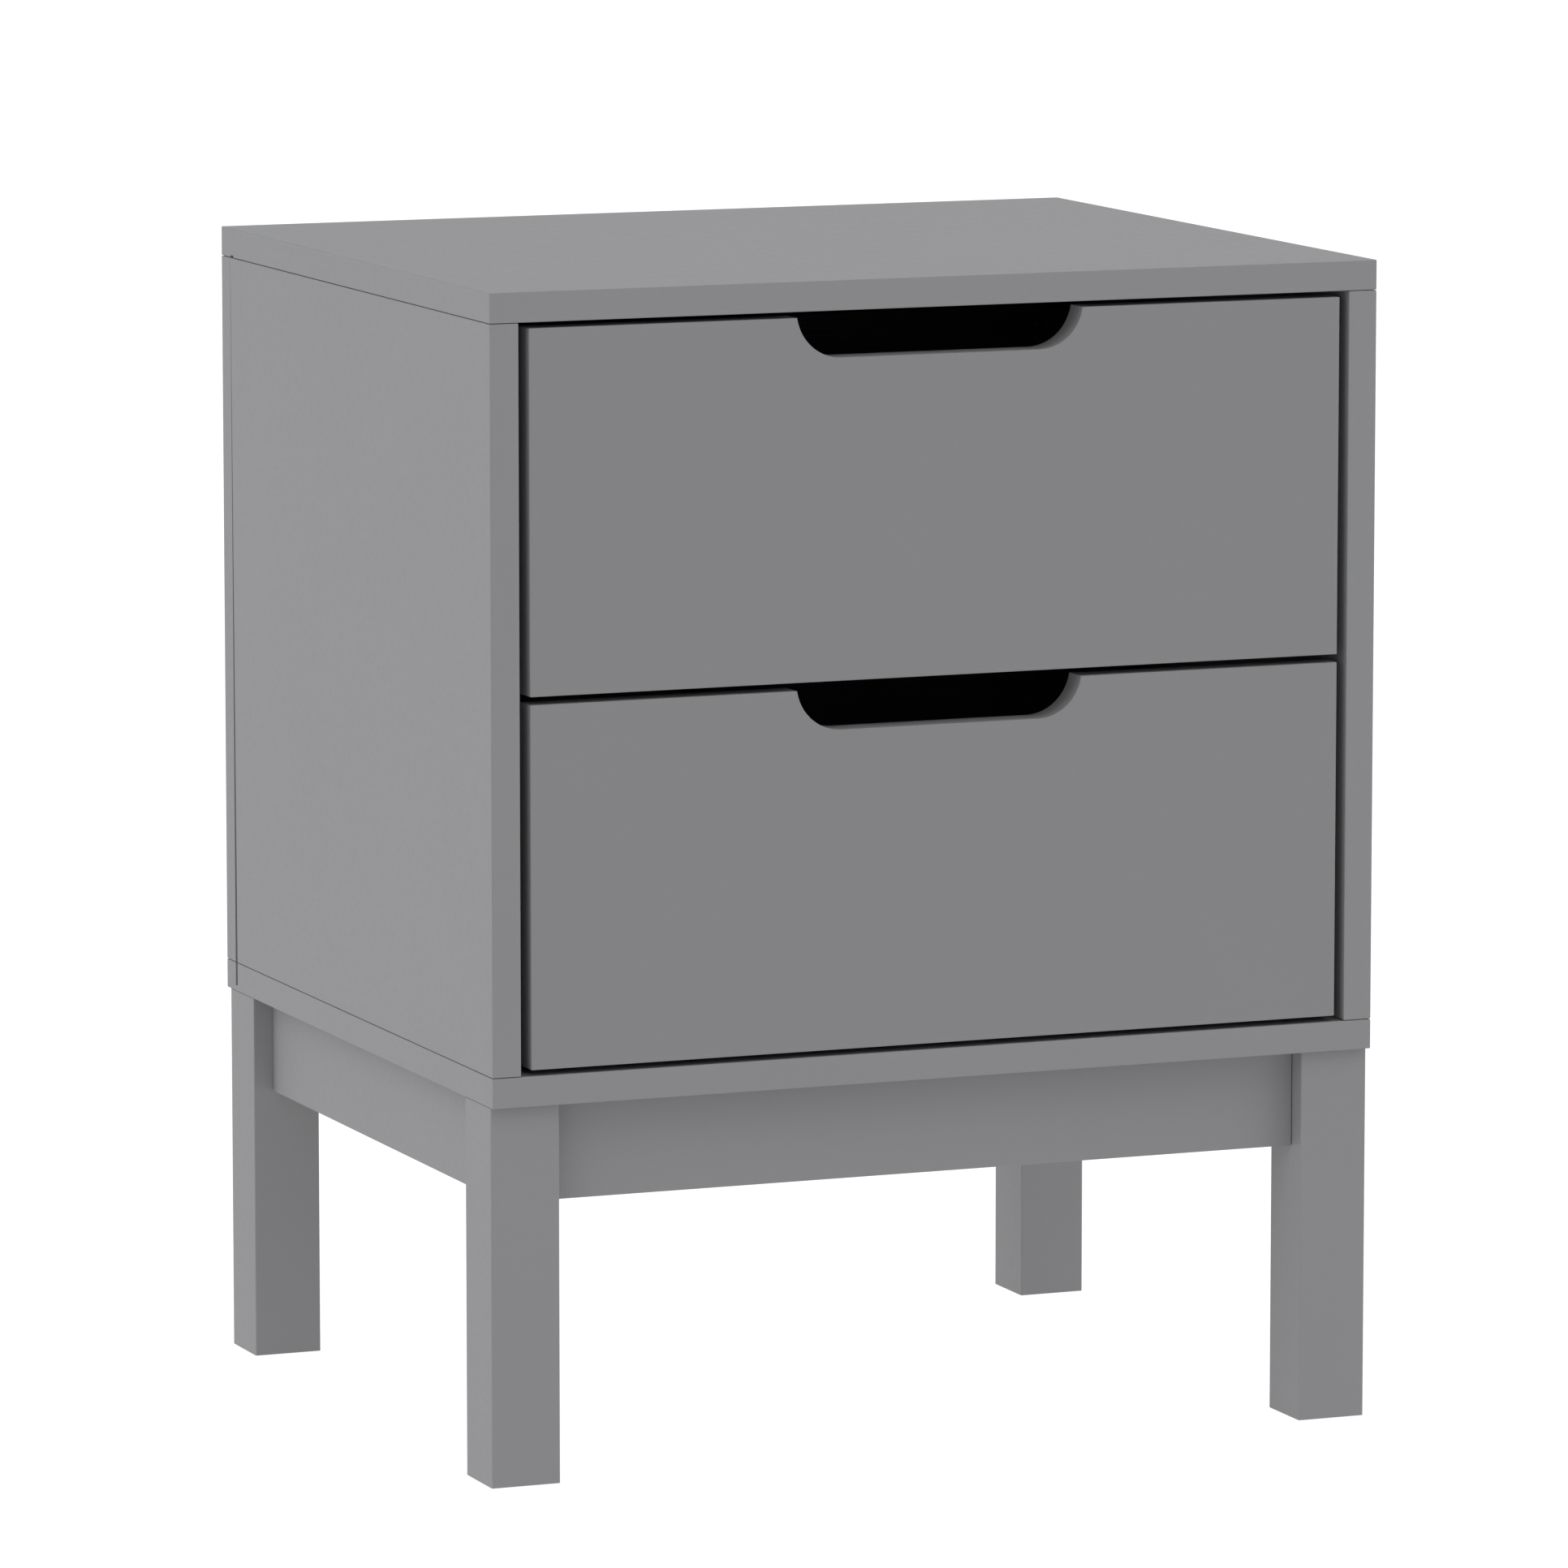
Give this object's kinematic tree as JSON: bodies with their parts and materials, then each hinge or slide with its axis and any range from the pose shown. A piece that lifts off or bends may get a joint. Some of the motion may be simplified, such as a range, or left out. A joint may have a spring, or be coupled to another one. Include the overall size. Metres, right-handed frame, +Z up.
{
  "type": "nightstand with drawers",
  "caption": "Grey painted nightstand: a box cabinet on a recessed base frame with square legs, and inset drawers with rounded finger cut-outs.",
  "frame": {"origin": "on the floor, under the middle of the cabinet's width and depth", "axes": "+X to the right as seen from the front, +Y to the back, +Z up"},
  "size_m": [0.502, 0.4234, 0.6254],
  "materials": {
    "grey_paint": "satin paint",
    "birch_box": "grey stain and clear lacquer",
    "back_sheet": "painted hardboard",
    "block_wood": "bare",
    "zinc_steel": "zinc plated",
    "rail_steel": "black powder coat",
    "nylon": "moulded"
  },
  "bodies": {
    "cabinet": {"top_panel": "grey_paint", "bottom_panel": "grey_paint", "left_side_panel": "grey_paint", "right_side_panel": "grey_paint", "left_rear_stile": "grey_paint", "right_rear_stile": "grey_paint", "back_panel": "back_sheet", "front_left_leg": "grey_paint", "front_right_leg": "grey_paint", "rear_left_leg": "grey_paint", "rear_right_leg": "grey_paint", "front_apron": "grey_paint", "rear_apron": "grey_paint", "left_apron": "grey_paint", "right_apron": "grey_paint", "front_left_corner_block": "block_wood", "front_left_leg_bolt": "zinc_steel", "front_left_panel_screw": "zinc_steel", "front_right_corner_block": "block_wood", "front_right_leg_bolt": "zinc_steel", "front_right_panel_screw": "zinc_steel", "rear_left_corner_block": "block_wood", "rear_left_leg_bolt": "zinc_steel", "rear_left_panel_screw": "zinc_steel", "rear_right_corner_block": "block_wood", "rear_right_leg_bolt": "zinc_steel", "rear_right_panel_screw": "zinc_steel", "upper_left_cabinet_rail": "rail_steel", "upper_right_cabinet_rail": "rail_steel", "lower_left_cabinet_rail": "rail_steel", "lower_right_cabinet_rail": "rail_steel"},
    "upper_drawer": {"upper_drawer_front": "grey_paint", "upper_drawer_left_side": "birch_box", "upper_drawer_right_side": "birch_box", "upper_drawer_back": "birch_box", "upper_drawer_bottom": "birch_box", "upper_left_drawer_rail": "rail_steel", "upper_right_drawer_rail": "rail_steel"},
    "lower_drawer": {"lower_drawer_front": "grey_paint", "lower_drawer_left_side": "birch_box", "lower_drawer_right_side": "birch_box", "lower_drawer_back": "birch_box", "lower_drawer_bottom": "birch_box", "lower_left_drawer_rail": "rail_steel", "lower_right_drawer_rail": "rail_steel"},
    "upper_left_front_roller": {"upper_left_front_roller": "nylon"},
    "upper_left_rear_roller": {"upper_left_rear_roller": "nylon"},
    "upper_right_front_roller": {"upper_right_front_roller": "nylon"},
    "upper_right_rear_roller": {"upper_right_rear_roller": "nylon"},
    "lower_left_front_roller": {"lower_left_front_roller": "nylon"},
    "lower_left_rear_roller": {"lower_left_rear_roller": "nylon"},
    "lower_right_front_roller": {"lower_right_front_roller": "nylon"},
    "lower_right_rear_roller": {"lower_right_rear_roller": "nylon"}
  },
  "joints": [
    {"name": "upper_drawer_slide", "type": "slide", "parent": "cabinet", "child": "upper_drawer", "axis": [0, -1, 0], "range_m": [0, 0.26]},
    {"name": "lower_drawer_slide", "type": "slide", "parent": "cabinet", "child": "lower_drawer", "axis": [0, -1, 0], "range_m": [0, 0.26]},
    {"name": "upper_left_front_roller_spin", "type": "hinge", "parent": "cabinet", "child": "upper_left_front_roller", "pos_m": [-0.2297, -0.1855, 0.439], "axis": [1, 0, 0], "continuous": true},
    {"name": "upper_left_rear_roller_spin", "type": "hinge", "parent": "upper_drawer", "child": "upper_left_rear_roller", "pos_m": [-0.2278, 0.1455, 0.439], "axis": [1, 0, 0], "continuous": true},
    {"name": "upper_right_front_roller_spin", "type": "hinge", "parent": "cabinet", "child": "upper_right_front_roller", "pos_m": [0.2297, -0.1855, 0.439], "axis": [1, 0, 0], "continuous": true},
    {"name": "upper_right_rear_roller_spin", "type": "hinge", "parent": "upper_drawer", "child": "upper_right_rear_roller", "pos_m": [0.2278, 0.1455, 0.439], "axis": [1, 0, 0], "continuous": true},
    {"name": "lower_left_front_roller_spin", "type": "hinge", "parent": "cabinet", "child": "lower_left_front_roller", "pos_m": [-0.2297, -0.1855, 0.2439], "axis": [1, 0, 0], "continuous": true},
    {"name": "lower_left_rear_roller_spin", "type": "hinge", "parent": "lower_drawer", "child": "lower_left_rear_roller", "pos_m": [-0.2278, 0.1455, 0.2439], "axis": [1, 0, 0], "continuous": true},
    {"name": "lower_right_front_roller_spin", "type": "hinge", "parent": "cabinet", "child": "lower_right_front_roller", "pos_m": [0.2297, -0.1855, 0.2439], "axis": [1, 0, 0], "continuous": true},
    {"name": "lower_right_rear_roller_spin", "type": "hinge", "parent": "lower_drawer", "child": "lower_right_rear_roller", "pos_m": [0.2278, 0.1455, 0.2439], "axis": [1, 0, 0], "continuous": true}
  ],
  "couplings": [
    {"joint": "upper_left_front_roller_spin", "follows": "upper_drawer_slide", "rad_per_m": 133.33},
    {"joint": "upper_left_rear_roller_spin", "follows": "upper_drawer_slide", "rad_per_m": 133.33},
    {"joint": "upper_right_front_roller_spin", "follows": "upper_drawer_slide", "rad_per_m": 133.33},
    {"joint": "upper_right_rear_roller_spin", "follows": "upper_drawer_slide", "rad_per_m": 133.33},
    {"joint": "lower_left_front_roller_spin", "follows": "lower_drawer_slide", "rad_per_m": 133.33},
    {"joint": "lower_left_rear_roller_spin", "follows": "lower_drawer_slide", "rad_per_m": 133.33},
    {"joint": "lower_right_front_roller_spin", "follows": "lower_drawer_slide", "rad_per_m": 133.33},
    {"joint": "lower_right_rear_roller_spin", "follows": "lower_drawer_slide", "rad_per_m": 133.33}
  ]
}
